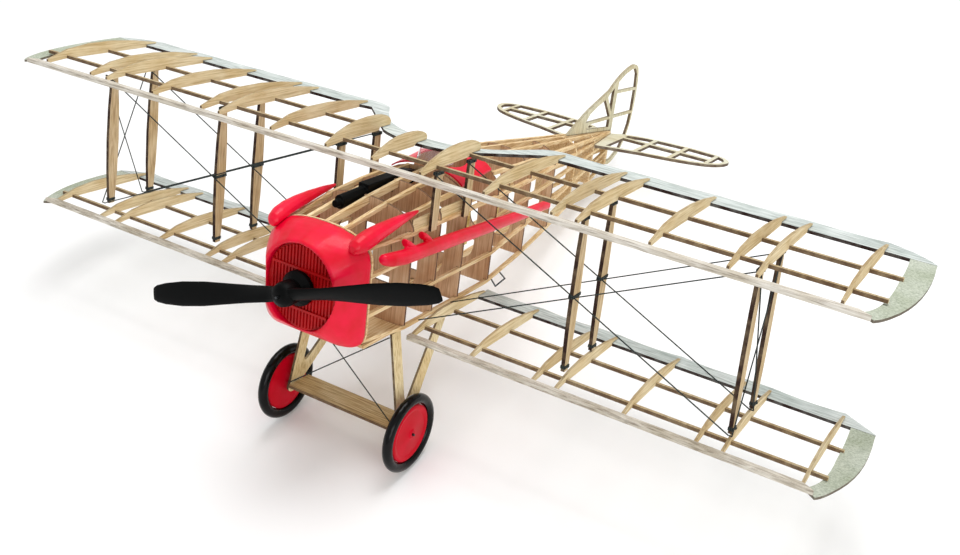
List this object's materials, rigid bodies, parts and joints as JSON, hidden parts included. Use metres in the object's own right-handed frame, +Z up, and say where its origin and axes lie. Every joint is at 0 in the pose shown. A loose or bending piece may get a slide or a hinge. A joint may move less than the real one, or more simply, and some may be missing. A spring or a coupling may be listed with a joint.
{
  "type": "biplane scale model",
  "caption": "Uncovered balsa biplane scale model with thread rigging, moulded red nose, exhausts and wheel discs, black propeller and a tail skid; the propeller and wheels turn freely.",
  "frame": {"origin": "centre of the footprint, on the ground plane under the tyres and the tail skid", "axes": "+X to the aircraft's left along the span, nose towards -Y, +Z up; the aircraft stands tail down, pitched about 16 degrees nose up"},
  "size_m": [0.614, 0.4794, 0.184],
  "materials": {
    "balsa": "bare balsa, fine straight grain, scorched cut edges",
    "pale_balsa": "bleached pale balsa, faint grain",
    "brown_balsa": "red-brown bare balsa sheet",
    "red_plastic": "glossy moulded red",
    "black_plastic": "satin black moulding",
    "tyre": "glossy black moulded tyre",
    "steel_wire": "thin dark music wire",
    "thread": "dark twisted thread",
    "clear_sheet": "thin clear plastic sheet"
  },
  "bodies": {
    "airframe": {"upper_wing_ribs_and_spars": "balsa", "upper_leading_edge": "pale_balsa", "upper_trailing_edge": "pale_balsa", "upper_wingtip_left": "pale_balsa", "lower_wing_ribs_and_spars_left": "balsa", "lower_leading_edge_left": "pale_balsa", "lower_trailing_edge_left": "pale_balsa", "lower_wingtip_left": "pale_balsa", "upper_wingtip_right": "pale_balsa", "lower_wing_ribs_and_spars_right": "balsa", "lower_leading_edge_right": "pale_balsa", "lower_trailing_edge_right": "pale_balsa", "lower_wingtip_right": "pale_balsa", "inner_front_strut_left": "balsa", "outer_front_strut_left": "balsa", "cabane_front_strut_left": "balsa", "inner_rear_strut_left": "balsa", "outer_rear_strut_left": "balsa", "cabane_rear_strut_left": "balsa", "inner_front_strut_right": "balsa", "outer_front_strut_right": "balsa", "cabane_front_strut_right": "balsa", "inner_rear_strut_right": "balsa", "outer_rear_strut_right": "balsa", "cabane_rear_strut_right": "balsa", "fuselage_keels_and_stringers": "balsa", "fuselage_former_2": "brown_balsa", "fuselage_former_3": "brown_balsa", "fuselage_former_4": "brown_balsa", "fuselage_former_5": "brown_balsa", "fuselage_former_6": "brown_balsa", "fuselage_former_7": "brown_balsa", "thrust_bearing": "black_plastic", "radiator_grille": "red_plastic", "nose_cowl": "red_plastic", "fairing_left": "red_plastic", "exhaust_pipe_left": "red_plastic", "fairing_right": "red_plastic", "exhaust_pipe_right": "red_plastic", "deck_gun": "black_plastic", "windscreen": "clear_sheet", "cockpit_coaming": "red_plastic", "undercarriage_leg_left": "balsa", "undercarriage_leg_right": "balsa", "axle": "steel_wire", "axle_spreader": "balsa", "fin_and_rudder": "balsa", "tailplane_left": "balsa", "tailplane_right": "balsa", "tail_skid": "balsa", "boarding_step": "steel_wire", "rigging_left": "thread", "rigging_right": "thread", "undercarriage_thread": "thread"},
    "propeller": {"propeller": "black_plastic", "propeller_shaft": "steel_wire"},
    "left_wheel": {"left_tyre": "tyre", "left_wheel_disc": "red_plastic"},
    "right_wheel": {"right_tyre": "tyre", "right_wheel_disc": "red_plastic"}
  },
  "joints": [
    {"name": "propeller_spin", "type": "hinge", "parent": "airframe", "child": "propeller", "pos_m": [0, -0.22855, 0.14005], "axis": [0, 0.9615, -0.2748], "continuous": true},
    {"name": "left_wheel_spin", "type": "hinge", "parent": "airframe", "child": "left_wheel", "pos_m": [0.0486, -0.19084, 0.026], "axis": [1, 0, 0], "continuous": true},
    {"name": "right_wheel_spin", "type": "hinge", "parent": "airframe", "child": "right_wheel", "pos_m": [-0.0486, -0.19084, 0.026], "axis": [1, 0, 0], "continuous": true}
  ]
}
